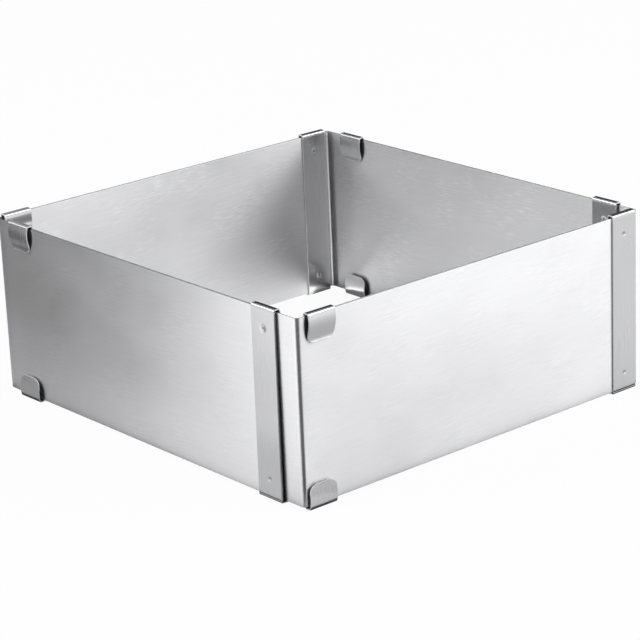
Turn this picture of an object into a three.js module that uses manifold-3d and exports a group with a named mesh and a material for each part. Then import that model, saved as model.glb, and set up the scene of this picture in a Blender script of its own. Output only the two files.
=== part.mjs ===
// Adjustable cake frame of thin stainless sheet.
// Four L-shaped corner sheets overlap along the walls, and each wall's two sheets slide along each
// other. A hooked clip is spot welded to the free end of every leg and grips the sheet beside it.
// Millimetres, +Z up, origin on the ground at the centre of the frame.

import * as THREE from "three";
import { mergeVertices } from "three/addons/utils/BufferGeometryUtils.js";
import Module from "manifold-3d";

const wasm = await Module();
wasm.setup();

// Corner sheets
const WALL_HEIGHT = 85;
const LEG_LENGTH = 206;
const SHEET_THICKNESS = 0.5;
const CORNER_INNER_RADIUS = 1.5;
const SLIDE_GAP = 0.35;

// How far the width is drawn out from its closed stop. The depth is fully closed.
const WIDTH_DRAWN_OUT = 10;

// Clearance between a leg's free end and the clip inside the next wall, when closed
const END_CLEARANCE = 0.8;

// Clips: a strap over the sheet's full height, a hook round each edge, and a tab on the far side
const CLIP_WIDTH = 15;
const CLIP_THICKNESS = 0.6;
const CLIP_INNER_RADIUS = 1;
const SEAM_GAP = 0.25;
const EDGE_GAP = 0.65;
const TAB_ROOT_GAP = 1.8;
const TAB_TIP_GAP = 0.3;
const TOP_TAB_DROP = 12;
const BOTTOM_TAB_RISE = 10;
const TAB_CORNER_RADIUS = 3.5;

// Spot welds: a plug in a round hole of the strap, with a dished face
const WELD_RADIUS = 1.1;
const WELD_CLEARANCE = 0.05;
const WELD_RIM_WIDTH = 0.2;
const WELD_DISH_DEPTH = 0.2;
const WELD_INSET = 8.5;

// One overrun serves all cuts
const OVERRUN = 1;

// Facet counts
const BEND_STEPS = 8;
const TAB_CORNER_STEPS = 6;
const WELD_SIDES = 20;
const DISH_STEPS = 3;

// Finish
const STEEL_COLOUR = 0xc6c6c9;
const STEEL_ROUGHNESS = 0.28;
const WELD_COLOUR = 0xaeaeb2;
const WELD_ROUGHNESS = 0.45;

// A wall from its outer plane inwards: outer sheet, gap, inner sheet, then an inner clip's strap
const INNER_LAYER = SHEET_THICKNESS + SLIDE_GAP;
const WALL_STACK = INNER_LAYER + SHEET_THICKNESS;
const STRAP_STACK = SEAM_GAP + CLIP_THICKNESS;

// Overall size between the outer planes of opposite walls
const CLOSED_OPENING = WALL_STACK + STRAP_STACK + END_CLEARANCE;
const DEPTH = LEG_LENGTH + CLOSED_OPENING;
const WIDTH = DEPTH + WIDTH_DRAWN_OUT;

// Heights above the ground, on which the clips' lower hooks stand
const SHEET_BOTTOM = CLIP_THICKNESS + EDGE_GAP;
const SHEET_TOP = SHEET_BOTTOM + WALL_HEIGHT;

// A clip's own frame: X through the wall from the strap's face, Y along the wall, Z up
const THROUGH = new THREE.Vector3(1, 0, 0);
const OUTWARD = new THREE.Vector3(-1, 0, 0);
const ALONG = new THREE.Vector3(0, 1, 0);
const UP = new THREE.Vector3(0, 0, 1);

// The corners in turn round the frame, each turned a quarter from the one before it
const CORNERS = [
  { name: "front_left", outerWall: "front", innerWall: "left", sideX: -1, sideY: -1 },
  { name: "front_right", outerWall: "right", innerWall: "front", sideX: 1, sideY: -1 },
  { name: "back_right", outerWall: "back", innerWall: "right", sideX: 1, sideY: 1 },
  { name: "back_left", outerWall: "left", innerWall: "back", sideX: -1, sideY: 1 },
];

// Turns a geometry so that its own X and Y axes point along the two given directions
function orient(geometry, xDirection, yDirection) {
  const zDirection = new THREE.Vector3().crossVectors(xDirection, yDirection);
  return geometry.applyMatrix4(new THREE.Matrix4().makeBasis(xDirection, yDirection, zDirection));
}

function toSolid(geometry) {
  geometry.deleteAttribute("normal");
  geometry.deleteAttribute("uv");
  const merged = mergeVertices(geometry);
  return new wasm.Manifold(new wasm.Mesh({
    numProp: 3,
    vertProperties: merged.attributes.position.array,
    triVerts: new Uint32Array(merged.index.array),
  }));
}

function toGeometry(solid) {
  const mesh = solid.getMesh();
  const geometry = new THREE.BufferGeometry();
  geometry.setAttribute("position", new THREE.BufferAttribute(mesh.vertProperties, mesh.numProp));
  geometry.setIndex(new THREE.BufferAttribute(mesh.triVerts, 1));
  geometry.computeVertexNormals();
  return geometry;
}

// The section of a strip bent along a path. The path is the strip's inner face, with the
// thickness on its right-hand side, and it turns left at every bend.
function bentStripShape(path, innerRadius, thickness) {
  const inner = [];
  const outer = [];
  const directions = path.slice(1).map((point, index) => point.clone().sub(path[index]).normalize());
  const normals = directions.map((direction) => new THREE.Vector2(direction.y, -direction.x));
  const last = path.length - 1;
  path.forEach((point, index) => {
    if (index === 0 || index === last) {
      const normal = normals[Math.min(index, last - 1)];
      inner.push(point.clone());
      outer.push(point.clone().addScaledVector(normal, thickness));
      return;
    }
    const before = normals[index - 1];
    const after = normals[index];
    const inset = innerRadius / (1 + before.dot(after));
    const centre = point.clone().addScaledVector(before.clone().add(after), -inset);
    const turn = Math.atan2(before.cross(after), before.dot(after));
    for (let step = 0; step <= BEND_STEPS; step += 1) {
      const spoke = before.clone().rotateAround(new THREE.Vector2(), (turn * step) / BEND_STEPS);
      inner.push(centre.clone().addScaledVector(spoke, innerRadius));
      outer.push(centre.clone().addScaledVector(spoke, innerRadius + thickness));
    }
  });
  return new THREE.Shape([...inner, ...outer.reverse()]);
}

function extrude(shape, depth) {
  const curveSegments = TAB_CORNER_STEPS;
  return new THREE.ExtrudeGeometry(shape, { depth, curveSegments, bevelEnabled: false });
}

// A corner sheet in the front left corner's place: the outer leg runs along +X in the wall's
// outer layer, the inner leg along +Y in the next wall's inner layer.
function cornerSheetGeometry() {
  const path = [
    new THREE.Vector2(WALL_STACK, LEG_LENGTH),
    new THREE.Vector2(WALL_STACK, SHEET_THICKNESS),
    new THREE.Vector2(LEG_LENGTH, SHEET_THICKNESS),
  ];
  return extrude(bentStripShape(path, CORNER_INNER_RADIUS, SHEET_THICKNESS), WALL_HEIGHT);
}

// The strap, its two hooks and the two leaning tabs, as one bent strip
function clipStrip() {
  const strapBack = CLIP_THICKNESS;
  const slidingFace = strapBack + SEAM_GAP + WALL_STACK;
  const tabRoot = slidingFace + TAB_ROOT_GAP;
  const tabTip = slidingFace + TAB_TIP_GAP;
  const hookTop = SHEET_TOP + EDGE_GAP;
  const hookBottom = CLIP_THICKNESS;
  const topTip = SHEET_TOP - TOP_TAB_DROP;
  const bottomTip = SHEET_BOTTOM + BOTTOM_TAB_RISE;
  const topLean = (tabRoot - tabTip) / (hookTop - topTip);
  const bottomLean = (tabRoot - tabTip) / (bottomTip - hookBottom);
  const path = [
    new THREE.Vector2(tabTip - topLean * OVERRUN, topTip - OVERRUN),
    new THREE.Vector2(tabRoot, hookTop),
    new THREE.Vector2(strapBack, hookTop),
    new THREE.Vector2(strapBack, hookBottom),
    new THREE.Vector2(tabRoot, hookBottom),
    new THREE.Vector2(tabTip - bottomLean * OVERRUN, bottomTip + OVERRUN),
  ];
  const strip = extrude(bentStripShape(path, CLIP_INNER_RADIUS, CLIP_THICKNESS), CLIP_WIDTH);
  orient(strip, THROUGH, UP);
  strip.translate(0, CLIP_WIDTH / 2, 0);
  return toSolid(strip);
}

// What is cut away between the two tabs, so that their tips end with round corners
function tabWindow() {
  const side = CLIP_WIDTH / 2;
  const inside = side - TAB_CORNER_RADIUS;
  const top = SHEET_TOP - TOP_TAB_DROP;
  const bottom = SHEET_BOTTOM + BOTTOM_TAB_RISE;
  const shape = new THREE.Shape();
  shape.moveTo(side + OVERRUN, bottom - TAB_CORNER_RADIUS);
  shape.lineTo(side + OVERRUN, top + TAB_CORNER_RADIUS);
  shape.lineTo(side, top + TAB_CORNER_RADIUS);
  shape.absarc(inside, top + TAB_CORNER_RADIUS, TAB_CORNER_RADIUS, 0, -Math.PI / 2, true);
  shape.absarc(-inside, top + TAB_CORNER_RADIUS, TAB_CORNER_RADIUS, -Math.PI / 2, -Math.PI, true);
  shape.lineTo(-side - OVERRUN, top + TAB_CORNER_RADIUS);
  shape.lineTo(-side - OVERRUN, bottom - TAB_CORNER_RADIUS);
  shape.lineTo(-side, bottom - TAB_CORNER_RADIUS);
  shape.absarc(-inside, bottom - TAB_CORNER_RADIUS, TAB_CORNER_RADIUS, Math.PI, Math.PI / 2, true);
  shape.absarc(inside, bottom - TAB_CORNER_RADIUS, TAB_CORNER_RADIUS, Math.PI / 2, 0, true);
  const tabReach = WALL_STACK + TAB_ROOT_GAP + CLIP_THICKNESS;
  const window = orient(extrude(shape, tabReach + OVERRUN), ALONG, UP);
  window.translate(CLIP_THICKNESS + SEAM_GAP, 0, 0);
  return toSolid(window);
}

const WELD_HEIGHTS = { top: SHEET_TOP - WELD_INSET, bottom: SHEET_BOTTOM + WELD_INSET };

function weldHole(height) {
  const radius = WELD_RADIUS + WELD_CLEARANCE;
  const hole = new THREE.CylinderGeometry(radius, radius, CLIP_THICKNESS + OVERRUN, WELD_SIDES);
  orient(hole, UP, OUTWARD);
  hole.translate(CLIP_THICKNESS / 2, 0, height);
  return toSolid(hole);
}

function clipGeometry() {
  let clip = clipStrip().subtract(tabWindow());
  for (const height of Object.values(WELD_HEIGHTS)) {
    clip = clip.subtract(weldHole(height));
  }
  return toGeometry(clip);
}

// A weld stands on its own base at the sheet's face and ends flush with the strap's face
function weldGeometry() {
  const length = STRAP_STACK - WELD_CLEARANCE;
  const dishRadius = WELD_RADIUS - WELD_RIM_WIDTH;
  const profile = [
    new THREE.Vector2(0, 0),
    new THREE.Vector2(WELD_RADIUS, 0),
    new THREE.Vector2(WELD_RADIUS, length),
  ];
  for (let step = 0; step <= DISH_STEPS; step += 1) {
    const share = step / DISH_STEPS;
    const radius = dishRadius * (1 - share);
    const sink = WELD_DISH_DEPTH * Math.sin((share * Math.PI) / 2);
    profile.push(new THREE.Vector2(radius, length - sink));
  }
  return orient(new THREE.LatheGeometry(profile, WELD_SIDES), UP, OUTWARD);
}

function namedMesh(name, geometry, color, roughness) {
  const material = new THREE.MeshStandardMaterial({ color, roughness, metalness: 1 });
  const mesh = new THREE.Mesh(geometry, material);
  mesh.name = name;
  return mesh;
}

// A clip with its two welds, in the clip's own frame
function clipGroup(name) {
  const group = new THREE.Group();
  group.add(namedMesh(name, clipShape, STEEL_COLOUR, STEEL_ROUGHNESS));
  for (const [level, height] of Object.entries(WELD_HEIGHTS)) {
    const weld = namedMesh(`weld_${name}_${level}`, weldShape, WELD_COLOUR, WELD_ROUGHNESS);
    weld.position.set(STRAP_STACK - WELD_CLEARANCE, 0, height);
    group.add(weld);
  }
  return group;
}

// A corner sheet and the clips on its two free ends, in the front left corner's place
function cornerGroup({ name, outerWall, innerWall }) {
  const group = new THREE.Group();
  const sheet = namedMesh(`corner_sheet_${name}`, sheetShape, STEEL_COLOUR, STEEL_ROUGHNESS);
  sheet.position.z = SHEET_BOTTOM;
  group.add(sheet);

  const clipCentre = LEG_LENGTH - CLIP_WIDTH / 2;
  const outerClip = clipGroup(`outer_clip_${outerWall}`);
  outerClip.position.set(clipCentre, -STRAP_STACK, 0);
  outerClip.rotation.z = Math.PI / 2;
  group.add(outerClip);

  const innerClip = clipGroup(`inner_clip_${innerWall}`);
  innerClip.position.set(WALL_STACK + STRAP_STACK, clipCentre, 0);
  innerClip.rotation.z = Math.PI;
  group.add(innerClip);
  return group;
}

const sheetShape = cornerSheetGeometry();
const clipShape = clipGeometry();
const weldShape = weldGeometry();

const cakeFrame = new THREE.Group();
CORNERS.forEach((corner, quarter) => {
  const group = cornerGroup(corner);
  group.position.set((corner.sideX * WIDTH) / 2, (corner.sideY * DEPTH) / 2, 0);
  group.rotation.z = (quarter * Math.PI) / 2;
  cakeFrame.add(group);
});

export default cakeFrame;
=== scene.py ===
# Adjustable cake frame of thin brushed stainless sheet, on a pale studio floor.
# Metres, +Z up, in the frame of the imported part.

import math

import bpy
import numpy as np
from mathutils import Matrix, Vector


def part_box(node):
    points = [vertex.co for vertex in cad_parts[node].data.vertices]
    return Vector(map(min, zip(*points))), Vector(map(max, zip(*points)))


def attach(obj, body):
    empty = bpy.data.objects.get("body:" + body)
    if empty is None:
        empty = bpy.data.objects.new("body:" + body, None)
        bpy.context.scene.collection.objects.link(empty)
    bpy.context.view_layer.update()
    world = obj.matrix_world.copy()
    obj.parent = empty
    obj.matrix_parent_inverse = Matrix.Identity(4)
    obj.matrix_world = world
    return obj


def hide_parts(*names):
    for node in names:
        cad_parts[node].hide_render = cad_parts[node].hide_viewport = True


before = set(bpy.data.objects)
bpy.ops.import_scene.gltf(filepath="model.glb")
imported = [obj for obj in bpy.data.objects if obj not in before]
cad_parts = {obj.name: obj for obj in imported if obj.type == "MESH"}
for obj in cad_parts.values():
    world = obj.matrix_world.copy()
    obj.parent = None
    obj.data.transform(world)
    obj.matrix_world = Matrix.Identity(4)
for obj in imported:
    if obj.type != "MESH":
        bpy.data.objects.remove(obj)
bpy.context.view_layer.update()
MM = 0.001

# Corner sheets
SHEET_THICKNESS = 0.5 * MM
CORNER_INNER_RADIUS = 1.5 * MM
SLIDE_GAP = 0.35 * MM

# Clips: a strap over the sheet's full height, a hook round each edge, and a tab on the far side.
# A tab's gaps are between its inner face and the wall, at its root and at its tip.
CLIP_THICKNESS = 0.6 * MM
CLIP_INNER_RADIUS = 0.55 * MM
SEAM_GAP = 0.16 * MM
EDGE_GAP = 0.65 * MM
TOP_TAB_ROOT_GAP = 1.0 * MM
TOP_TAB_TIP_GAP = 0.5 * MM
BOTTOM_TAB_ROOT_GAP = 1.34 * MM
BOTTOM_TAB_TIP_GAP = 0.7 * MM
TOP_TAB_DROP = 12 * MM
BOTTOM_TAB_RISE = 10 * MM
TAB_CORNER_RADIUS = 3.5 * MM

# Beside each hook the strap bows in towards the sheet
STRAP_BOW = 0.11 * MM
STRAP_BOW_LENGTH = 4.0 * MM

# How far a tab's face is turned up, in degrees, at shares of its length from root to tip
TOP_TAB_TILTS = (
    (0, 16), (0.12, 11), (0.28, 4), (0.4, -1), (0.5, -9),
    (0.65, -15), (0.8, -12), (0.88, -2), (1, 24),
)
BOTTOM_TAB_TILTS = ((0, -14), (0.15, -4), (0.3, 3), (0.5, 9), (0.8, 12), (1, 8))

# Spot welds, and the dent that the electrodes pressed into the strap round each of them
WELD_RADIUS = 1.1 * MM
WELD_INSET = 8.5 * MM
WELD_CLEARANCE = 0.05 * MM
WELD_RIM_WIDTH = 0.25 * MM
WELD_RIM_RISE = 0.09 * MM
WELD_DISH_DEPTH = 0.17 * MM
DENT_RADIUS = 2.3 * MM
DENT_DEPTH = 0.38 * MM

# The most that the bruised metal in a dent takes of the cut edges' finish
HALO = 0.2

# Every cut edge is rounded off
EDGE_ROUND = 0.12 * MM

# Wear of the outer and of the inner face: the insides of the walls are scraped. The same values
# also make a face's colour darker, the sheets' inner faces the most.
SHEET_WEAR = (0.3, 1.0)
CLIP_WEAR = (0.35, 0.35)

# The front wall's outer sheet stands off a little at its lower free end
LEAN_OUT = 0.7 * MM

# The back right corner's inner leg was cut a little out of square at its free end
SKEW_TOP = 3.0 * MM
SKEW_BOTTOM = 0.5 * MM

# Every bend has sprung open a little: the outer leg curves in towards its corner, and the inner
# leg leans towards the sheet outside it
SPRING = 0.35 * MM
SPRING_LENGTH = 7 * MM
INNER_LEAN = 0.27 * MM

# The front left corner's inner leg was cut a little short
CUT_SHORT = 1.2 * MM

# Mesh steps. A support row lies close to each bend and edge, and the strap's even rows keep a few
# steps away from its ends, where the bow has rows of its own.
BEND_STEPS = 10
ROUND_STEPS = 3
TIP_STEPS = 8
TAB_STEPS = 9
STRAP_STEPS = 12
STRAP_END_STEPS = 3
BOW_STEPS = 5
SPRING_STEPS = 7
SWELL_STEPS = 100
WELD_SIDES = 36
DISH_RINGS = 8
SHEET_STEP = 8 * MM
SUPPORT = 0.15 * MM

# Columns of a sheet and of a clip as shares of the half width, the rings round a dent as shares of
# the dent's radius, and the ring under a weld as a share of the weld's radius
SHEET_COLUMN_SHARES = (0.2, 0.4, 0.6, 0.8)
CLIP_COLUMN_SHARES = (0.6, 0.8)
DENT_SHARES = (0.15, 0.3, 0.45, 0.6, 0.75, 0.9, 1.05, 1.25)
WELD_CORE_SHARE = 0.6

# Rows this near to the strap's middle plane are part of the strap
TINY = 0.001 * MM

# The straight runs of a clip that have rows of their own, counted from the top tab
TOP_TAB_RUN = 0
STRAP_RUN = 2
BOTTOM_TAB_RUN = 4

# The bake map: a strip's sides fill its middle, and its two ends lie in the margins beside them,
# their thickness scaled up
BAKE_START, BAKE_LENGTH = 0.03, 0.94
BAKE_MARGIN, BAKE_WIDTH = 0.01, 0.98
BAKE_END_SCALE = 4

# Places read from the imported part
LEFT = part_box("corner_sheet_back_left")[0].x
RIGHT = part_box("corner_sheet_front_right")[1].x
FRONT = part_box("corner_sheet_front_left")[0].y
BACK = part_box("corner_sheet_back_right")[1].y
LEG_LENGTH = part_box("corner_sheet_front_left")[1].y - FRONT
SHEET_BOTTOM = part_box("corner_sheet_front_left")[0].z
SHEET_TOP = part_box("corner_sheet_front_left")[1].z
WALL_HEIGHT = SHEET_TOP - SHEET_BOTTOM
CLIP_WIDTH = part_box("outer_clip_front")[1].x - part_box("outer_clip_front")[0].x

INNER_LAYER = SHEET_THICKNESS + SLIDE_GAP
WALL_STACK = INNER_LAYER + SHEET_THICKNESS
STRAP_STACK = SEAM_GAP + CLIP_THICKNESS
WELD_HEIGHTS = {"top": SHEET_TOP - WELD_INSET, "bottom": SHEET_BOTTOM + WELD_INSET}

# The corners in turn round the frame, each turned a quarter from the one before it
CORNERS = [
    {"name": "front_left", "outer_wall": "front", "inner_wall": "left", "at": (LEFT, FRONT)},
    {"name": "front_right", "outer_wall": "right", "inner_wall": "front", "at": (RIGHT, FRONT)},
    {"name": "back_right", "outer_wall": "back", "inner_wall": "right", "at": (RIGHT, BACK)},
    {"name": "back_left", "outer_wall": "left", "inner_wall": "back", "at": (LEFT, BACK)},
]

# The grain of every strip is shifted by a number of its own, counted on from these by the corners
SHEET_SEED = 1
OUTER_CLIP_SEED = 6
INNER_CLIP_SEED = 11


# Strips of sheet metal

def spread(length, step):
    """Stations along a straight run, with a support row close to each end."""
    count = max(1, round(length / step))
    inner = [length * k / count for k in range(1, count)]
    return [0, SUPPORT, *inner, length - SUPPORT, length]


def strip_line(corners, inner_radius, thickness, stations):
    """The middle line of a strip that is bent along its inner face's corners. The thickness lies
    on the path's right-hand side, and stations(run, length) gives each straight run's rows."""
    corners = [np.array(c, float) for c in corners]
    ways = [b - a for a, b in zip(corners, corners[1:])]
    ways = [w / np.linalg.norm(w) for w in ways]
    sides = [np.array((w[1], -w[0])) for w in ways]
    points = []
    start = corners[0]
    for run, (way, side) in enumerate(zip(ways, sides)):
        last = run == len(ways) - 1
        if last:
            end = corners[-1]
        else:
            after = sides[run + 1]
            centre = corners[run + 1] - (side + after) * inner_radius / (1 + side @ after)
            end = centre + side * inner_radius
        length = np.linalg.norm(end - start)
        points += [start + way * d + side * thickness / 2 for d in stations(run, length)]
        if last:
            break
        turn = math.atan2(side[0] * after[1] - side[1] * after[0], side @ after)
        for step in range(1, BEND_STEPS):
            angle = turn * step / BEND_STEPS
            c, s = math.cos(angle), math.sin(angle)
            spoke = np.array((c * side[0] - s * side[1], s * side[0] + c * side[1]))
            points.append(centre + spoke * (inner_radius + thickness / 2))
        start = centre + after * inner_radius
    return np.array(points)


def line_frame(line):
    """Right-hand normals and run lengths along a plane line."""
    steps = np.diff(line, axis=0)
    lengths = np.linalg.norm(steps, axis=1)
    steps /= lengths[:, None]
    ways = np.concatenate([steps[:1], steps[:-1] + steps[1:], steps[-1:]])
    ways /= np.linalg.norm(ways, axis=1)[:, None]
    normals = np.stack([ways[:, 1], -ways[:, 0]], 1)
    return normals, np.concatenate([[0], np.cumsum(lengths)])


def ring(half_width, half_thickness, columns, nominal):
    """One section of a strip with rounded edges: places (across, through) all round it. The columns
    are those of a section whose flat half is nominal wide."""
    flat = half_width - EDGE_ROUND
    level = half_thickness - EDGE_ROUND
    share = flat / nominal
    face = [(c * share, half_thickness) for c in columns]
    back = [(c * share, -half_thickness) for c in reversed(columns)]
    middles = ((90, flat, level), (0, flat, -level), (-90, -flat, -level), (180, -flat, level))
    arcs = []
    for start, a, b in middles:
        angles = [math.radians(start - 90 * k / ROUND_STEPS) for k in range(ROUND_STEPS + 1)]
        arcs.append([(a + EDGE_ROUND * math.cos(t), b + EDGE_ROUND * math.sin(t)) for t in angles])
    return face + arcs[0][1:] + arcs[1][:-1] + back + arcs[2][1:] + arcs[3][:-1]


def end_faces(column_count, count):
    """The faces that close a strip's end, by their places round its ring: four-sided faces
    between front and back, and one face at each rounded edge."""
    first_back = column_count + 2 * ROUND_STEPS - 1
    last_back = first_back + column_count - 1
    faces = [[j, last_back - j, last_back - j - 1, j + 1] for j in range(column_count - 1)]
    faces.append(list(range(column_count - 1, first_back + 1)))
    faces.append([*range(last_back, count), 0])
    return faces


def strip_mesh(name, rows, columns, half_width, thickness, seed, worn):
    """A closed strip through rows of (centre, through, across, half width, half thickness, run
    length). Its map Strip gives metres along and across the grain, edge marks its cut edges, and
    worn gives the wear of its front and its back face."""
    outline = ring(half_width, thickness / 2, columns, half_width - EDGE_ROUND)
    count = len(outline)
    sides = [math.dist(a, b) for a, b in zip(outline, outline[1:] + outline[:1])]
    around = np.concatenate([[0], np.cumsum(sides)])
    turns = 2 * ROUND_STEPS
    edge_around = ([0.0] * len(columns) + [1.0] * turns) * 2
    vertices, runs, edge = [], [], []
    for place, (centre, through, across, width, half_thickness, run) in enumerate(rows):
        for a, b in ring(width, half_thickness, columns, half_width - EDGE_ROUND):
            vertices.append(centre + across * a + through * b)
        runs.append(run)
        at_end = min(place, len(rows) - 1 - place) < ROUND_STEPS
        edge += [1.0] * count if at_end else edge_around

    faces, strip_map, bake_map = [], [], []
    for i in range(len(rows) - 1):
        for j in range(count):
            k = (j + 1) % count
            row, after = i * count, (i + 1) * count
            faces.append((row + j, row + k, after + k, after + j))
            for r, q in ((i, j), (i, j + 1), (i + 1, j + 1), (i + 1, j)):
                strip_map.append((runs[r] + seed, around[q] + seed))
                bake_across = BAKE_MARGIN + BAKE_WIDTH * around[q] / around[-1]
                bake_map.append((BAKE_START + BAKE_LENGTH * runs[r] / runs[-1], bake_across))
    for row, bake_along, order in ((0, BAKE_MARGIN, 1), (len(rows) - 1, 1 - BAKE_MARGIN, -1)):
        for face in end_faces(len(columns), count):
            loop = face[::order]
            faces.append([row * count + j for j in loop])
            for j in loop:
                a, b = outline[j]
                strip_map.append((b + seed, a + seed))
                bake_across = BAKE_MARGIN + BAKE_WIDTH * (a + half_width) / (2 * half_width)
                bake_map.append((bake_along + b * BAKE_END_SCALE, bake_across))

    mesh = bpy.data.meshes.new(name)
    mesh.from_pydata([tuple(v) for v in vertices], [], faces)
    for layer_name, places in (("Strip", strip_map), ("OFBake", bake_map)):
        layer = mesh.uv_layers.new(name=layer_name, do_init=False)
        layer.uv.foreach_set("vector", np.array(places, np.float32).ravel())
    mesh.uv_layers.active = mesh.uv_layers["Strip"]
    front, back = worn
    front_wear = [front] * (len(columns) + ROUND_STEPS)
    back_wear = [back] * (len(columns) + turns)
    wear = front_wear + back_wear + [front] * ROUND_STEPS
    mesh.attributes.new("edge", "FLOAT", "POINT").data.foreach_set("value", edge)
    mesh.attributes.new("worn", "FLOAT", "POINT").data.foreach_set("value", wear * len(rows))
    mesh.polygons.foreach_set("use_smooth", [True] * len(mesh.polygons))
    mesh.validate()
    return mesh


def rounded_ends(rows):
    """The rows with a rounded edge across both ends: extra rows where the strip thins out."""
    made = []
    for sign, row in ((-1, rows[0]), (1, rows[-1])):
        centre, through, across, width, half, run = row
        way = np.cross(through, across)
        toward = rows[1][0] - rows[0][0] if sign < 0 else rows[-1][0] - rows[-2][0]
        way = way if way @ toward > 0 else -way
        extra = []
        for k in range(1, ROUND_STEPS + 1):
            angle = math.pi / 2 * k / ROUND_STEPS
            reach = sign * EDGE_ROUND * math.sin(angle)
            sink = EDGE_ROUND * (1 - math.cos(angle))
            extra.append((centre + way * reach, through, across, width - sink, half - sink, run + reach))
        made.append(extra)
    rows = [*reversed(made[0]), *rows, *made[1]]
    start = rows[0][5]
    return [(*row[:5], row[5] - start) for row in rows]


def mirrored(half):
    """Columns on both sides of a strip's middle, and the middle itself."""
    return sorted([0.0, *half, *[-c for c in half]])


# Shapes in the front left corner's place

def sheet_rows():
    """The L of a corner sheet: the inner leg along +Y, the bend, the outer leg along +X."""
    path = [
        (WALL_STACK, LEG_LENGTH - EDGE_ROUND),
        (WALL_STACK, SHEET_THICKNESS),
        (LEG_LENGTH - EDGE_ROUND, SHEET_THICKNESS),
    ]

    def stations(run, length):
        rows = spread(length, SHEET_STEP)
        if run == 1:
            sprung = [SPRING_LENGTH * k / SPRING_STEPS for k in range(1, SPRING_STEPS + 1)]
            rows = sorted({*rows, *sprung})
        return rows

    line = strip_line(path, CORNER_INNER_RADIUS, SHEET_THICKNESS, stations)
    normals, runs = line_frame(line)
    middle = (SHEET_BOTTOM + SHEET_TOP) / 2
    across = np.array((0, 0, 1.0))
    rows = []
    for (x, y), (nx, ny), run in zip(line, normals, runs):
        centre, through = np.array((x, y, middle)), np.array((nx, ny, 0.0))
        rows.append((centre, through, across, WALL_HEIGHT / 2, SHEET_THICKNESS / 2, run))
    return rounded_ends(rows)


def sheet_columns():
    nominal = WALL_HEIGHT / 2 - EDGE_ROUND
    inner = [nominal * share for share in SHEET_COLUMN_SHARES]
    return mirrored([*inner, nominal - SUPPORT, nominal])


def tip_width(distance):
    """Half a tab's width at a distance from its tip, whose corners are round."""
    side = CLIP_WIDTH / 2
    if distance >= TAB_CORNER_RADIUS:
        return side
    short = TAB_CORNER_RADIUS - distance
    return side - TAB_CORNER_RADIUS + math.sqrt(max(0.0, TAB_CORNER_RADIUS ** 2 - short ** 2))


def tip_stations(length):
    """Rows from a tab's tip to its root: close together round the corners."""
    angles = [math.pi / 2 * k / TIP_STEPS for k in range(TIP_STEPS + 1)]
    turn = [TAB_CORNER_RADIUS * (1 - math.cos(angle)) for angle in angles]
    straight = length - TAB_CORNER_RADIUS
    rest = [TAB_CORNER_RADIUS + straight * k / TAB_STEPS for k in range(1, TAB_STEPS)]
    return [*turn, *rest, length - SUPPORT, length]


def dent_offsets():
    """Rows and columns round a weld's dent, from its middle outwards."""
    return [DENT_RADIUS * share for share in DENT_SHARES]


def strap_stations(length, bottom):
    """Rows down the strap from its upper bend, close together at both ends and round the welds."""
    rows = {0.0, SUPPORT, length - SUPPORT, length}
    for height in WELD_HEIGHTS.values():
        middle = bottom + length - height
        rows.add(middle)
        for offset in dent_offsets():
            rows.update((middle - offset, middle + offset))
    middle_steps = range(STRAP_END_STEPS, STRAP_STEPS - STRAP_END_STEPS + 1)
    rows.update(length * k / STRAP_STEPS for k in middle_steps)
    for k in range(1, BOW_STEPS + 1):
        bowed = STRAP_BOW_LENGTH * k / BOW_STEPS
        rows.update((bowed, length - bowed))
    return sorted(r for r in rows if 0 <= r <= length)


def tab_swell(share, tilts, sign):
    """How far a tab's face stands out from the straight line between root and tip, for a unit
    length, at a share of the way from the root. The sign is -1 for a tab that points up."""
    shares = np.linspace(0, 1, SWELL_STEPS + 1)
    slopes = np.tan(np.radians(np.interp(shares, [s for s, _ in tilts], [t for _, t in tilts])))
    stands = sign * np.concatenate([[0], np.cumsum((slopes[1:] + slopes[:-1]) / 2 * shares[1])])
    stands -= stands[-1] * shares
    return float(np.interp(share, shares, stands))


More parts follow.
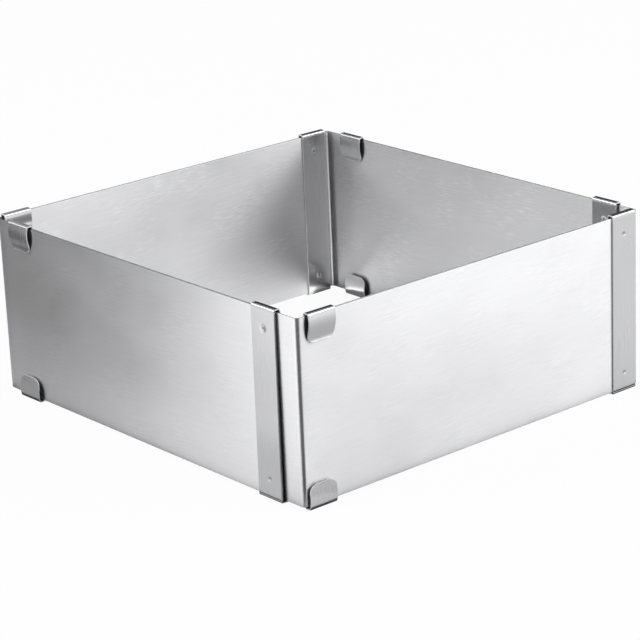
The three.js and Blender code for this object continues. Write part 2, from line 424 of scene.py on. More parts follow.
def clip_rows():
    """A clip in its own place: X through the wall from the strap's face, Y along the wall. The
    strip runs from the top tab's tip over the upper hook, down the strap and round the lower hook."""
    strap_back = CLIP_THICKNESS
    sliding_face = strap_back + SEAM_GAP + WALL_STACK
    hook_top, hook_bottom = SHEET_TOP + EDGE_GAP, CLIP_THICKNESS
    top_tip = SHEET_TOP - TOP_TAB_DROP + EDGE_ROUND
    bottom_tip = SHEET_BOTTOM + BOTTOM_TAB_RISE - EDGE_ROUND
    path = [
        (sliding_face + TOP_TAB_TIP_GAP, top_tip),
        (sliding_face + TOP_TAB_ROOT_GAP, hook_top),
        (strap_back, hook_top),
        (strap_back, hook_bottom),
        (sliding_face + BOTTOM_TAB_ROOT_GAP, hook_bottom),
        (sliding_face + BOTTOM_TAB_TIP_GAP, bottom_tip),
    ]

    def stations(run, length):
        if run == TOP_TAB_RUN:
            return tip_stations(length)
        if run == BOTTOM_TAB_RUN:
            return [length - d for d in reversed(tip_stations(length))]
        if run == STRAP_RUN:
            return strap_stations(length, hook_bottom + CLIP_INNER_RADIUS)
        return [0, SUPPORT, length / 2, length - SUPPORT, length]

    line = strip_line(path, CLIP_INNER_RADIUS, CLIP_THICKNESS, stations)
    _, runs = line_frame(line)
    top_length = hook_top - CLIP_INNER_RADIUS - top_tip
    bottom_length = bottom_tip - CLIP_INNER_RADIUS - hook_bottom
    tabs = (
        (runs, top_length, TOP_TAB_TILTS, 1),
        (runs[-1] - runs, bottom_length, BOTTOM_TAB_TILTS, -1),
    )
    for distances, length, tilts, sign in tabs:
        for i, distance in enumerate(distances):
            if distance < length:
                line[i, 0] += tab_swell(1 - distance / length, tilts, sign) * length
    strap = np.abs(line[:, 0] - strap_back / 2) < TINY
    ends = np.minimum(line[:, 1] - hook_bottom, hook_top - line[:, 1]) - CLIP_INNER_RADIUS
    bow = np.clip(1 - ends / STRAP_BOW_LENGTH, 0, 1) ** 2
    whole = runs[-1]
    line[:, 0] += np.where(strap, STRAP_BOW * bow, 0)
    normals, runs = line_frame(line)
    across = np.array((0, 1.0, 0))
    rows = []
    for (x, z), (nx, nz), run in zip(line, normals, runs):
        width = tip_width(min(run, whole - run) + EDGE_ROUND)
        centre, through = np.array((x, 0, z)), np.array((nx, 0, nz))
        rows.append((centre, through, across, width, CLIP_THICKNESS / 2, run))
    return rounded_ends(rows)


def clip_columns():
    nominal = CLIP_WIDTH / 2 - EDGE_ROUND
    outer = [nominal * share for share in CLIP_COLUMN_SHARES]
    return mirrored([*dent_offsets(), *outer, nominal - SUPPORT, nominal])


def weld_halo(mesh):
    """Marks the bruised metal round each weld on the strap's outer face."""
    values = mesh.attributes["edge"].data
    for vertex in mesh.vertices:
        x, y, z = vertex.co
        if x < CLIP_THICKNESS / 2:
            for height in WELD_HEIGHTS.values():
                off = math.hypot(y, z - height) / DENT_RADIUS
                if off < 1:
                    values[vertex.index].value = max(values[vertex.index].value, HALO * (1 - off))


def dent_depth(off):
    """The depth of an electrode's dent at a distance from its middle."""
    return DENT_DEPTH * np.cos(np.clip(off / DENT_RADIUS, 0, 1) * math.pi / 2) ** 2


def dent(points):
    """Presses an electrode's dent into the strap's outer face round each weld."""
    for height in WELD_HEIGHTS.values():
        off = np.hypot(points[:, 1], points[:, 2] - height)
        on_face = points[:, 0] < CLIP_THICKNESS / 2
        points[:, 0] += np.where(on_face, dent_depth(off), 0)


def weld_profile():
    """A weld's half section (radius, depth): its base, its side, the raised rim and the dish."""
    inner = WELD_RADIUS - WELD_RIM_WIDTH
    base = STRAP_STACK - WELD_CLEARANCE
    seat = float(dent_depth(WELD_RADIUS))
    profile = [(0.0, base), (WELD_RADIUS * WELD_CORE_SHARE, base), (WELD_RADIUS, base), (WELD_RADIUS, seat)]
    for k in range(1, ROUND_STEPS + 1):
        angle = math.pi * k / (ROUND_STEPS + 1)
        radius = WELD_RADIUS - WELD_RIM_WIDTH * (1 - math.cos(angle)) / 2
        profile.append((radius, seat - WELD_RIM_RISE * math.sin(angle)))
    for k in range(DISH_RINGS + 1):
        share = k / DISH_RINGS
        profile.append((inner * (1 - share), seat + WELD_DISH_DEPTH * math.sin(share * math.pi / 2)))
    return profile


def weld_mesh(name, seed):
    """A dished weld on the strap: X from the dent's floor to the sheet, middle on the X axis. Its
    attribute edge marks all of it but the dish."""
    profile = weld_profile()
    rings = len(profile) - 2
    vertices = []
    for radius, depth in profile[1:-1]:
        for side in range(WELD_SIDES):
            angle = 2 * math.pi * side / WELD_SIDES
            vertices.append((depth, radius * math.cos(angle), radius * math.sin(angle)))
    first, last = len(vertices), len(vertices) + 1
    vertices += [(profile[0][1], 0, 0), (profile[-1][1], 0, 0)]

    steps = [math.dist(a, b) for a, b in zip(profile, profile[1:])]
    runs = np.concatenate([[0], np.cumsum(steps)])
    turn = 2 * math.pi * WELD_RADIUS / WELD_SIDES

    def place(point, side):
        return runs[point] + seed, side * turn

    faces, places = [], []
    for r in range(rings - 1):
        for side in range(WELD_SIDES):
            after = (side + 1) % WELD_SIDES
            row, above = r * WELD_SIDES, (r + 1) * WELD_SIDES
            faces.append((row + side, row + after, above + after, above + side))
            places += [place(r + 1, side), place(r + 1, side + 1)]
            places += [place(r + 2, side + 1), place(r + 2, side)]
    top = (rings - 1) * WELD_SIDES
    for side in range(WELD_SIDES):
        after = (side + 1) % WELD_SIDES
        faces.append((first, after, side))
        places += [place(0, side), place(1, side + 1), place(1, side)]
        faces.append((last, top + side, top + after))
        places += [place(-1, side), place(-2, side), place(-2, side + 1)]

    dish = (DISH_RINGS - 1) * WELD_SIDES
    marked = [1.0] * (rings * WELD_SIDES - dish) + [0.0] * dish
    mesh = bpy.data.meshes.new(name)
    mesh.from_pydata(vertices, [], faces)
    layer = mesh.uv_layers.new(name="Strip", do_init=False)
    layer.uv.foreach_set("vector", np.array(places, np.float32).ravel())
    mesh.attributes.new("edge", "FLOAT", "POINT").data.foreach_set("value", [*marked, 1.0, 0.0])
    mesh.polygons.foreach_set("use_smooth", [True] * len(mesh.polygons))
    mesh.validate()
    return mesh


def change(mesh, shape):
    """Runs shape on the mesh's points, in place."""
    points = np.empty(len(mesh.vertices) * 3)
    mesh.vertices.foreach_get("co", points)
    points = points.reshape(-1, 3)
    shape(points)
    mesh.vertices.foreach_set("co", points.ravel())
    mesh.update()


def face_outwards(mesh):
    """Turns all faces over if the mesh's volume comes out negative."""
    mesh.calc_loop_triangles()
    corners = np.array([v.co for v in mesh.vertices])
    triangles = corners[[t.vertices[:] for t in mesh.loop_triangles]]
    volume = np.einsum("ij,ij->i", triangles[:, 0], np.cross(triangles[:, 1], triangles[:, 2])).sum()
    if volume < 0:
        mesh.flip_normals()


def settle(corner):
    """How the sheet of a corner, and what it carries, stands off from its true place."""
    lean, short = (LEAN_OUT, CUT_SHORT) if corner["name"] == "front_left" else (0, 0)
    skew_top, skew_bottom = (SKEW_TOP, SKEW_BOTTOM) if corner["name"] == "back_right" else (0, 0)

    def shape(points):
        x, y, z = points.T
        along = np.clip(x / LEG_LENGTH, 0, 1)
        along = along * along * (3 - 2 * along)
        low = np.clip((SHEET_TOP - z) / WALL_HEIGHT, 0, 1)
        near, far = SHEET_THICKNESS, WALL_STACK + TOP_TAB_TIP_GAP
        carried = np.clip((far - y) / (far - near), 0, 1)
        out = lean * along * low * carried
        in_leg = np.clip(y / LEG_LENGTH, 0, 1)
        back = (skew_bottom * low - skew_top * (1 - low)) * in_leg
        sprung = SPRING * np.clip(1 - (x - WALL_STACK) / SPRING_LENGTH, 0, 1) ** 2
        points[:, 0] -= INNER_LEAN * (1 - in_leg)
        points[:, 1] -= short * in_leg
        points[:, 1] += back - out + sprung

    return shape


# Finish of the sheets and the clips: the colours of the dark and the bright streaks, and the colour
# and roughness of the cut edges. The sheets' dark cut colour is painted shade, a dark line along the
# rims; the clips' pale matt edges are their own finish.
SHEET_FINISH = {
    "dark": (0.74, 0.74, 0.755),
    "bright": (0.84, 0.84, 0.855),
    "roughness": 0.36,
    "anisotropic": 0.9,
    # Painted shade: a dark colour on the sheets' cut edges, so that the rims show a dark line
    "cut": (0.4, 0.4, 0.41),
    "cut_roughness": 0.2,
}
CLIP_FINISH = {
    "dark": (0.61, 0.61, 0.62),
    "bright": (0.68, 0.68, 0.69),
    "roughness": 0.24,
    "anisotropic": 0.6,
    "cut": (0.9, 0.9, 0.91),
    "cut_roughness": 0.85,
}

# Finish of the welds: a mottled pit and a brighter rim
PIT_DARK = (0.27, 0.27, 0.28)
PIT_BRIGHT = (0.42, 0.42, 0.43)
RIM_COLOUR = (0.6, 0.6, 0.61)
WELD_ROUGHNESS = (0.16, 0.3)

# Marks in the steel, each by its length along the grain and its width across it
HAIR = (14 * MM, 0.16 * MM)
GRAIN = (26 * MM, 0.8 * MM)
DASHES = (7 * MM, 0.7 * MM)
CLOUDS = (60 * MM, 38 * MM)
WAVES = (34 * MM, 26 * MM)
PATCHES = (30 * MM, 22 * MM)
MOTTLE = (0.5 * MM, 0.5 * MM)

# How far the marks are turned from the strip's length, in degrees, and the scratches with theirs
GRAIN_TURN = 2
DASH_TURN = 3
SCRATCHES = ((14, 9 * MM, 0.22 * MM), (-22, 7 * MM, 0.2 * MM), (38, 11 * MM, 0.25 * MM))

# The lowest and the highest value of a noise that still count
FULL_RANGE = (0.3, 0.7)
PIT_RANGE = (0.35, 0.65)
PATCH_RANGE = (0.45, 0.62)
SCRATCH_RANGE = (0.71, 0.78)

# Depth of detail in the noises
SMOOTH_DETAIL = 1
FINE_DETAIL = 3
FINE_ROUGHNESS = 0.6

# How much each mark counts in the streaks, in the tone and in the roughness
HAIR_SHARE = 0.45
GRAIN_SHARE = 0.55
STREAK_TONE = 0.7
CLOUD_TONE = 0.3
MIDDLE_TONE = 0.5
SCRATCH_TONE = 0.2
# How much a face's worn value darkens its colour
FACE_DARKENING = 0.35
DASH_TONE = 0.8
HAIR_ROUGHNESS = 0.5
CLOUD_ROUGHNESS = 0.5
SMOOTHER = 0.04
ROUGHER = 0.05
SCRATCH_ROUGHNESS = 0.1

# What is left of the streaks' tone and of their ridges where nothing has worn the steel
UNWORN_TONE = 0.45
UNWORN_RIDGES = 0.4

# Heights of the marks
WAVE_HEIGHT = 0.015 * MM
STREAK_HEIGHT = 0.005 * MM
SCRATCH_HEIGHT = -0.004 * MM
MOTTLE_HEIGHT = 0.015 * MM

# The sheen spreads across the grain: a quarter turn from the strip's length
SHEEN_TURN = 0.25


class Nodes:
    """A material's node tree, with short calls for its nodes."""

    def __init__(self, name):
        self.material = bpy.data.materials.new(name)
        self.material.use_nodes = True
        self.tree = self.material.node_tree
        self.shader = self.tree.nodes["Principled BSDF"]

    def link(self, source, target):
        self.tree.links.new(source, target)

    def node(self, kind, **values):
        made = self.tree.nodes.new(kind)
        for key, value in values.items():
            setattr(made, key, value)
        return made

    def put(self, socket, value):
        if isinstance(value, bpy.types.NodeSocket):
            self.link(value, socket)
        else:
            socket.default_value = value

    def surface(self, shader):
        """Puts another shader in the place of the tree's own."""
        self.tree.nodes.remove(self.shader)
        self.link(shader, self.tree.nodes["Material Output"].inputs["Surface"])

    def attribute(self, name):
        return self.node("ShaderNodeAttribute", attribute_name=name).outputs["Fac"]

    def math(self, operation, a, b, clamp=False):
        made = self.node("ShaderNodeMath", operation=operation, use_clamp=clamp)
        self.put(made.inputs[0], a)
        self.put(made.inputs[1], b)
        return made.outputs[0]

    def weighted(self, a, share_a, b, share_b):
        return self.math("ADD", self.math("MULTIPLY", a, share_a), self.math("MULTIPLY", b, share_b))

    def scaled(self, vector, along, across, turn=0.0):
        made = self.node("ShaderNodeMapping", vector_type="TEXTURE")
        self.link(vector, made.inputs["Vector"])
        made.inputs["Rotation"].default_value = (0, 0, math.radians(turn))
        made.inputs["Scale"].default_value = (along, across, 1)
        return made.outputs["Vector"]

    def noise(self, vector, detail=2.0, roughness=0.5):
        made = self.node("ShaderNodeTexNoise", noise_dimensions="2D")
        self.link(vector, made.inputs["Vector"])
        made.inputs["Scale"].default_value = 1
        made.inputs["Detail"].default_value = detail
        made.inputs["Roughness"].default_value = roughness
        return made.outputs["Fac"]

    def range(self, value, low, high, to_low=0.0, to_high=1.0, kind="LINEAR"):
        made = self.node("ShaderNodeMapRange", clamp=True, interpolation_type=kind)
        self.link(value, made.inputs["Value"])
        sockets = ("From Min", "From Max", "To Min", "To Max")
        for socket, number in zip(sockets, (low, high, to_low, to_high)):
            made.inputs[socket].default_value = number
        return made.outputs["Result"]

    def mix(self, share, low, high):
        made = self.node("ShaderNodeMix", data_type="RGBA")
        self.link(share, made.inputs[0])
        for socket, colour in ((made.inputs[6], low), (made.inputs[7], high)):
            self.put(socket, colour if isinstance(colour, bpy.types.NodeSocket) else (*colour, 1))
        return made.outputs[2]

    def blend(self, share, low, high):
        made = self.node("ShaderNodeMix", data_type="FLOAT")
        self.link(share, made.inputs[0])
        self.put(made.inputs[2], low)
        self.put(made.inputs[3], high)
        return made.outputs[0]

    def bump(self, height, distance, under=None):
        made = self.node("ShaderNodeBump")
        made.inputs["Distance"].default_value = distance
        made.inputs["Strength"].default_value = 1
        self.link(height, made.inputs["Height"])
        if under is not None:
            self.link(under, made.inputs["Normal"])
        return made.outputs["Normal"]


def brushed_steel(name, finish):
    """Bright rolled stainless: fine grain along the strip, faint clouds, a few slanting scratches,
    and cut edges of the finish's cut colour and roughness: the clips' own matt finish, and on the
    sheets a painted shade along the rims."""
    n = Nodes(name)
    edge = n.attribute("edge")
    worn = n.attribute("worn")
    strip = n.node("ShaderNodeUVMap", uv_map="Strip").outputs["UV"]
    hair = n.noise(n.scaled(strip, *HAIR), FINE_DETAIL, FINE_ROUGHNESS)
    grain = n.noise(n.scaled(strip, *GRAIN, GRAIN_TURN), FINE_DETAIL, FINE_ROUGHNESS)
    clouds = n.noise(n.scaled(strip, *CLOUDS))
    waves = n.noise(n.scaled(strip, *WAVES), SMOOTH_DETAIL)
    patches = n.range(n.noise(n.scaled(strip, *PATCHES), FINE_DETAIL), *PATCH_RANGE)
    patches = n.math("MULTIPLY", patches, worn)
    scratches = None
    for turn, length, width in SCRATCHES:
        line = n.noise(n.scaled(strip, length, width, turn), SMOOTH_DETAIL)
        line = n.range(line, *SCRATCH_RANGE)
        scratches = line if scratches is None else n.math("MAXIMUM", scratches, line)
    scratches = n.math("MULTIPLY", scratches, patches)

    streaks = n.weighted(hair, HAIR_SHARE, grain, GRAIN_SHARE)
    dashes = n.noise(n.scaled(strip, *DASHES, DASH_TURN))
    dashes = n.range(dashes, *FULL_RANGE, -DASH_TONE, DASH_TONE)
    dashes = n.math("MULTIPLY", dashes, patches)
    tone = n.range(n.weighted(streaks, STREAK_TONE, clouds, CLOUD_TONE), *FULL_RANGE)
    tone = n.blend(n.range(worn, 0, 1, UNWORN_TONE, 1), MIDDLE_TONE, tone)
    tone = n.math("ADD", tone, n.math("MULTIPLY", scratches, SCRATCH_TONE))
    # The colour gets darker with the worn value, so the sheets' inner faces come out darker than their
    # outer faces
    tone = n.math("SUBTRACT", tone, n.math("MULTIPLY", worn, FACE_DARKENING))
    tone = n.math("ADD", tone, dashes, clamp=True)
    steel = n.mix(tone, finish["dark"], finish["bright"])
    # The cut edges take the finish's cut colour, which on the sheets is a painted shade along the rims
    n.link(n.mix(edge, steel, finish["cut"]), n.shader.inputs["Base Color"])

    rough = n.weighted(hair, HAIR_ROUGHNESS, clouds, CLOUD_ROUGHNESS)
    smoothest, roughest = finish["roughness"] - SMOOTHER, finish["roughness"] + ROUGHER
    rough = n.range(rough, *FULL_RANGE, smoothest, roughest)
    rough = n.math("ADD", rough, n.math("MULTIPLY", scratches, SCRATCH_ROUGHNESS))
    n.link(n.blend(edge, rough, finish["cut_roughness"]), n.shader.inputs["Roughness"])

    wavy = n.bump(waves, WAVE_HEIGHT)
    ridges = n.math("MULTIPLY", streaks, n.range(worn, 0, 1, UNWORN_RIDGES, 1))
    brushed = n.bump(ridges, STREAK_HEIGHT, under=wavy)
    n.link(n.bump(scratches, SCRATCH_HEIGHT, under=brushed), n.shader.inputs["Normal"])

    tangent = n.node("ShaderNodeTangent", direction_type="UV_MAP", uv_map="Strip")
    n.link(tangent.outputs["Tangent"], n.shader.inputs["Tangent"])
    n.shader.inputs["Metallic"].default_value = 1
    n.shader.inputs["Anisotropic"].default_value = finish["anisotropic"]
    n.shader.inputs["Anisotropic Rotation"].default_value = SHEEN_TURN
    return n.material


def weld_steel():
    """A pressed weld: duller and darker than the strap, a little mottled."""
    n = Nodes("spot_weld")
    strip = n.node("ShaderNodeUVMap", uv_map="Strip").outputs["UV"]
    mottle = n.noise(n.scaled(strip, *MOTTLE), FINE_DETAIL)
    pit = n.mix(n.range(mottle, *PIT_RANGE), PIT_DARK, PIT_BRIGHT)
    n.link(n.mix(n.attribute("edge"), pit, RIM_COLOUR), n.shader.inputs["Base Color"])
    n.link(n.range(mottle, *FULL_RANGE, *WELD_ROUGHNESS), n.shader.inputs["Roughness"])
    n.link(n.bump(mottle, MOTTLE_HEIGHT), n.shader.inputs["Normal"])
    n.shader.inputs["Metallic"].default_value = 1
    return n.material


# Pieces

def add_object(name, data):
    made = bpy.data.objects.new(name, data)
    bpy.context.scene.collection.objects.link(made)
    return made


def piece(mesh, material, body, replaced):
    """A visible piece that rides on a body and stands in for one of the part's solids."""
    face_outwards(mesh)
    mesh.materials.append(material)
    made = add_object(mesh.name, mesh)
    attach(made, body)
    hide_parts(replaced)


def build_corner(quarter, corner, steels):
    """A corner sheet with the clips and welds on its two free ends."""
    body = corner["name"]
    x, y = corner["at"]
    place = Matrix.Translation((x, y, 0)) @ Matrix.Rotation(math.pi / 2 * quarter, 4, "Z")
    seat = settle(corner)
    sheet_name = f"corner_sheet_{body}"
    mesh = strip_mesh(
        f"{sheet_name}_steel", sheet_rows(), sheet_columns(),
        WALL_HEIGHT / 2, SHEET_THICKNESS, quarter + SHEET_SEED, SHEET_WEAR,
    )
    change(mesh, seat)
    mesh.transform(place)
    piece(mesh, steels["sheet"], body, sheet_name)

    middle = LEG_LENGTH - CLIP_WIDTH / 2
    outer = Matrix.Translation((middle, -STRAP_STACK, 0)) @ Matrix.Rotation(math.pi / 2, 4, "Z")
    inner_place = Matrix.Translation((WALL_STACK + STRAP_STACK, middle, 0))
    inner = inner_place @ Matrix.Rotation(math.pi, 4, "Z")
    clips = (
        (f"outer_clip_{corner['outer_wall']}", outer, quarter + OUTER_CLIP_SEED),
        (f"inner_clip_{corner['inner_wall']}", inner, quarter + INNER_CLIP_SEED),
    )
    for clip_name, on_leg, seed in clips:
        mesh = strip_mesh(
            f"{clip_name}_steel", clip_rows(), clip_columns(),
            CLIP_WIDTH / 2, CLIP_THICKNESS, seed, CLIP_WEAR,
        )
        weld_halo(mesh)
        change(mesh, dent)
        mesh.transform(on_leg)
        change(mesh, seat)
        mesh.transform(place)
        piece(mesh, steels["clip"], body, clip_name)
        for level, height in WELD_HEIGHTS.items():
            weld_name = f"weld_{clip_name}_{level}"
            mesh = weld_mesh(f"{weld_name}_mark", seed + height)
            mesh.transform(on_leg @ Matrix.Translation((0, 0, height)))
            change(mesh, seat)
            mesh.transform(place)
            piece(mesh, steels["weld"], body, weld_name)


# Studio

# How much of the floor's white is its own, seen straight and in reflections
SEEN_GLOW = 0.95
MIRRORED_GLOW = 0.12

FLOOR_HALF = 8.0
FLOOR_COLOUR = (0.9, 0.9, 0.9)
ROOM_COLOUR = (1, 1, 1)
ROOM_STRENGTH = 0.5

LAMP_AIM = (0, 0, 0.04)
LAMPS = (
    {"name": "key", "place": (1.0, 0.9, 0.8), "size": (1.3, 1.0), "power": 12},
    {"name": "fill", "place": (-0.8, -1.05, 0.85), "size": (1.0, 0.8), "power": 8},
)

# The photograph's viewing angle: degrees turned round the frame, tilted down and rolled
CAMERA_YAW = 49.78
CAMERA_PITCH = 19.01
CAMERA_ROLL = -2.45
CAMERA_DISTANCE = 1241.4 * MM
CAMERA_TARGET = Vector((0.66, 0.77, 33.59)) * MM
CAMERA_LENS = 147.11
CAMERA_SENSOR = 36

# The direction across the line of sight, in degrees from +X. The front wall mirrors it to the
# negative of this.
ACROSS_SIGHT = 49.8

# The cards' brightness: even, or graded from a near to a far value along a direction in degrees
# from +X, between two distances from the frame's centre
GLOWS = {
    "sweep_near": (0.42, 0.73, -ACROSS_SIGHT, (0.03, 0.12)),
    "sweep_far": (0.155, 0.98, -ACROSS_SIGHT, (0.045, 0.15)),
    "sweep_end": (0.13, 1.38, -ACROSS_SIGHT, (0.045, 0.16)),
    "screen_left": (0.11, 1.35, -ACROSS_SIGHT, (0.045, 0.17)),
    "sweep_right": (0.62, 0.95, 90, (-0.06, 0.2)),
    "screen_right": (1.2,),
    "room_front": (0.01, 0.2, -40, (0.27, 0.55)),
    "room_back": (0.02,),
    "foot_shade": (0.06,),
    # The floor inside is painted shade, dim for the shade of the walls
    "inside": (0.33,),
    "gleam": (1.15, 2.0, ACROSS_SIGHT, (-0.006, 0.0102)),
    "shade": (0.2,),
}

# Heights of the cards that lie just clear of the floor
FOOT_LIFT = 0.05 * MM
SWEEP_LIFT = 0.1 * MM
GLEAM_LIFT = 0.2 * MM
ROOM_LIFT = 1.5 * MM

# The front wall mirrors the floor before it, in three strips, and a screen at their far edge
SWEEP_NEAR_SPAN = (-0.3, 0.1)
SWEEP_FAR_SPAN = (-1.4, 0.08)
FOOT_REACH = 3.4 * MM
SWEEP_NEAR_REACH = 0.05
SWEEP_FAR_REACH = 0.13
SCREEN_LEFT_REACH = 0.6
SCREEN_LEFT_TOP = 0.42

# The right wall mirrors the floor beside it and a screen at its far edge
SWEEP_RIGHT_SPAN = (-0.08, 1.2)
SCREEN_RIGHT_SPAN = (-0.08, 1.4)
SCREEN_RIGHT_REACH = 0.7
SCREEN_RIGHT_TOP = 0.3

# The dark of the room in front and behind: turns in degrees from +X, and (distance, height) places
ROOM_FRONT_TURNS = (-78, -2)
ROOM_FRONT_PROFILE = ((0.004, ROOM_LIFT), (1.6, ROOM_LIFT), (1.7, 0.4))
ROOM_BACK_TURNS = (70, 151)
ROOM_BACK_PROFILE = ((1.5, 0.03), (1.4, 1.35))
CARD_STEP = 5

# The strips under the walls and the floor inside both end this far in from the outer planes
WALL_TUCK = 4 * MM

# A bright and a dark strip on the floor inside, which run from the far corner towards the near one:
# the directions along and across them, how far they run, and their edges' distances from the corner
GLEAM_WAY = Vector((0.764, -0.645, 0))
GLEAM_SIDE = Vector((0.645, 0.764, 0))
GLEAM_RUN = (0.012, 0.235)
GLEAM_EDGES = (-0.048, 0.001)
SHADE_EDGES = (0.001, 0.013)


def glow_material(name):
    """A card's own brightness."""
    near, *graded = GLOWS[name]
    n = Nodes(name)
    glow = n.node("ShaderNodeEmission")
    n.put(glow.inputs["Color"], (near, near, near, 1))
    if graded:
        far, turn, (start, end) = graded
        turn = math.radians(turn)
        way = n.node("ShaderNodeVectorMath", operation="DOT_PRODUCT")
        n.link(n.node("ShaderNodeTexCoord").outputs["Object"], way.inputs[0])
        n.put(way.inputs[1], (math.cos(turn), math.sin(turn), 0))
        ramp = n.range(way.outputs["Value"], start, end, near, far, "SMOOTHSTEP")
        n.link(ramp, glow.inputs["Color"])
    n.surface(glow.outputs[0])
    return n.material


def card(name, rows, material):
    """A card through rows of points, which only shows in reflections."""
    count = len(rows[0])
    faces = []
    for k in range(len(rows) - 1):
        row, after = k * count, (k + 1) * count
        for j in range(count - 1):
            faces.append((row + j, row + j + 1, after + j + 1, after + j))
    mesh = bpy.data.meshes.new(name)
    mesh.from_pydata([point for row in rows for point in row], [], faces)
    mesh.materials.append(material)
    made = add_object(name, mesh)
    made.visible_camera = False
    made.visible_diffuse = False
    made.visible_shadow = False


def flat_card(name, first, second, place):
    """A card with four corners: place gives a corner from a value of first and one of second."""
    card(name, [[place(a, b) for b in second] for a in first], glow_material(name))


def round_card(name, turns, profile, centre=(0, 0)):
    """A card bent round a place, between two turns, along a profile of (distance, height)."""
    steps = max(2, round((turns[1] - turns[0]) / CARD_STEP))
    rows = []
    for k in range(steps + 1):
        angle = math.radians(turns[0] + (turns[1] - turns[0]) * k / steps)
        x, y = math.cos(angle), math.sin(angle)
        rows.append([(centre[0] + reach * x, centre[1] + reach * y, up) for reach, up in profile])
    card(name, rows, glow_material(name))


def build_outer_cards():
    """The cards that the outsides of the walls mirror."""
    sweeps = (
        ("sweep_near", SWEEP_NEAR_SPAN, (FOOT_REACH, SWEEP_NEAR_REACH)),
        ("sweep_far", SWEEP_FAR_SPAN, (SWEEP_NEAR_REACH, SWEEP_FAR_REACH)),
        ("sweep_end", SWEEP_FAR_SPAN, (SWEEP_FAR_REACH, SCREEN_LEFT_REACH)),
    )
    for name, span, reaches in sweeps:
        flat_card(name, span, reaches, lambda x, reach: (x, FRONT - reach, SWEEP_LIFT))
    flat_card(
        "screen_left", SWEEP_FAR_SPAN, (SWEEP_LIFT, SCREEN_LEFT_TOP),
        lambda x, up: (x, FRONT - SCREEN_LEFT_REACH, up),
    )
    flat_card(
        "sweep_right", SWEEP_RIGHT_SPAN, (FOOT_REACH, SCREEN_RIGHT_REACH),
        lambda y, reach: (RIGHT + reach, y, SWEEP_LIFT),
    )
    flat_card(
        "screen_right", SCREEN_RIGHT_SPAN, (SWEEP_LIFT, SCREEN_RIGHT_TOP),
        lambda y, up: (RIGHT + SCREEN_RIGHT_REACH, y, up),
    )
    round_card("room_front", ROOM_FRONT_TURNS, ROOM_FRONT_PROFILE, (RIGHT, FRONT))
    round_card("room_back", ROOM_BACK_TURNS, ROOM_BACK_PROFILE)


def build_foot_cards():
    """A dark strip under the foot of each wall."""
    shade = glow_material("foot_shade")
    corners = ((LEFT, FRONT), (RIGHT, FRONT), (RIGHT, BACK), (LEFT, BACK), (LEFT, FRONT))
    for side, (ax, ay), (bx, by) in zip(("front", "right", "back", "left"), corners, corners[1:]):
        start, end = Vector((ax, ay, FOOT_LIFT)), Vector((bx, by, FOOT_LIFT))
        way = (end - start).normalized()
        out = Vector((way.y, -way.x, 0))
        ends = [start - way * FOOT_REACH, end + way * FOOT_REACH]
        rows = [[tuple(place + out * reach) for reach in (-WALL_TUCK, FOOT_REACH)] for place in ends]
        card(f"foot_{side}", rows, shade)


def build_inner_cards():
    """The cards on the floor inside, which the insides of the walls mirror: a dim card over all of it,
    painted shade for the shade that the walls cast there, and a bright and a dark strip.
    """
    xs, ys = (LEFT + WALL_TUCK, RIGHT - WALL_TUCK), (FRONT + WALL_TUCK, BACK - WALL_TUCK)
    # Painted shade: a dim card for the shade that the walls cast on the floor inside
    flat_card("inside", xs, ys, lambda x, y: (x, y, SWEEP_LIFT))
    corner = Vector((LEFT, BACK, GLEAM_LIFT))
    for name, edges in (("gleam", GLEAM_EDGES), ("shade", SHADE_EDGES)):
        flat_card(name, GLEAM_RUN, edges, lambda run, off: corner + GLEAM_WAY * run + GLEAM_SIDE * off)


def build_lamp(name, place, size, power):
    data = bpy.data.lights.new(name, "AREA")
    data.shape = "RECTANGLE"
    data.size, data.size_y = size
    data.energy = power
    made = add_object(name, data)
    made.location = place
    made.rotation_mode = "QUATERNION"
    made.rotation_quaternion = (Vector(LAMP_AIM) - Vector(place)).to_track_quat("-Z", "Y")


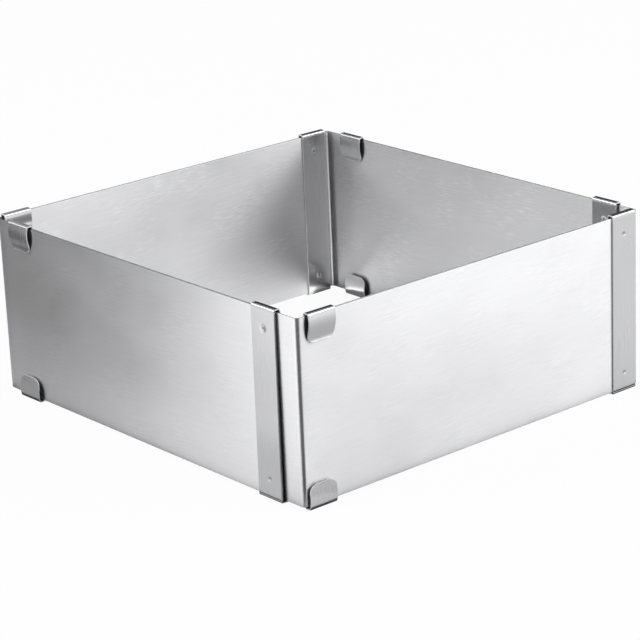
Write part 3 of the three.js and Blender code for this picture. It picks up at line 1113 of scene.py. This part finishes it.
def floor_material():
    """A matt white that is partly its own light, so that it stays pale where it is seen."""
    n = Nodes("floor")
    path = n.node("ShaderNodeLightPath")
    seen = n.math("MULTIPLY", path.outputs["Is Camera Ray"], SEEN_GLOW)
    reflected = n.math("MULTIPLY", path.outputs["Is Glossy Ray"], MIRRORED_GLOW)
    through = n.math("MULTIPLY", path.outputs["Is Transmission Ray"], MIRRORED_GLOW)
    share = n.math("MAXIMUM", n.math("MAXIMUM", seen, reflected), through)
    matt = n.node("ShaderNodeBsdfDiffuse")
    n.put(matt.inputs["Color"], (*FLOOR_COLOUR, 1))
    glow = n.node("ShaderNodeEmission")
    n.put(glow.inputs["Color"], (1, 1, 1, 1))
    mixed = n.node("ShaderNodeMixShader")
    for socket, source in zip(mixed.inputs, (share, matt.outputs[0], glow.outputs[0])):
        n.link(source, socket)
    n.surface(mixed.outputs[0])
    return n.material


def build_floor():
    mesh = bpy.data.meshes.new("floor")
    corners = ((-1, -1), (1, -1), (1, 1), (-1, 1))
    mesh.from_pydata([(x * FLOOR_HALF, y * FLOOR_HALF, 0) for x, y in corners], [], [(0, 1, 2, 3)])
    mesh.materials.append(floor_material())
    add_object("floor", mesh)


def build_world():
    world = bpy.data.worlds.new("studio")
    bpy.context.scene.world = world
    world.use_nodes = True
    background = world.node_tree.nodes["Background"]
    background.inputs["Color"].default_value = (*ROOM_COLOUR, 1)
    background.inputs["Strength"].default_value = ROOM_STRENGTH


def build_camera():
    yaw, pitch, roll = (math.radians(turn) for turn in (CAMERA_YAW, CAMERA_PITCH, CAMERA_ROLL))
    level, drop = math.cos(pitch), math.sin(pitch)
    ahead = Vector((-math.sin(yaw) * level, math.cos(yaw) * level, -drop))
    right = Vector((math.cos(yaw), math.sin(yaw), 0))
    up = right.cross(ahead)
    turned_right = right * math.cos(roll) + up * math.sin(roll)
    turned_up = up * math.cos(roll) - right * math.sin(roll)
    data = bpy.data.cameras.new("camera")
    data.lens = CAMERA_LENS
    data.sensor_width = CAMERA_SENSOR
    made = add_object("camera", data)
    axes = Matrix((turned_right, turned_up, -ahead)).transposed().to_4x4()
    made.matrix_world = Matrix.Translation(CAMERA_TARGET - ahead * CAMERA_DISTANCE) @ axes
    bpy.context.scene.camera = made


build_camera()
STEELS = {
    "sheet": brushed_steel("sheet_steel", SHEET_FINISH),
    "clip": brushed_steel("clip_steel", CLIP_FINISH),
    "weld": weld_steel(),
}
for quarter, corner in enumerate(CORNERS):
    build_corner(quarter, corner, STEELS)
build_floor()
build_world()
for lamp in LAMPS:
    build_lamp(**lamp)
build_outer_cards()
build_foot_cards()
build_inner_cards()

view = bpy.context.scene.view_settings
view.view_transform = "Standard"
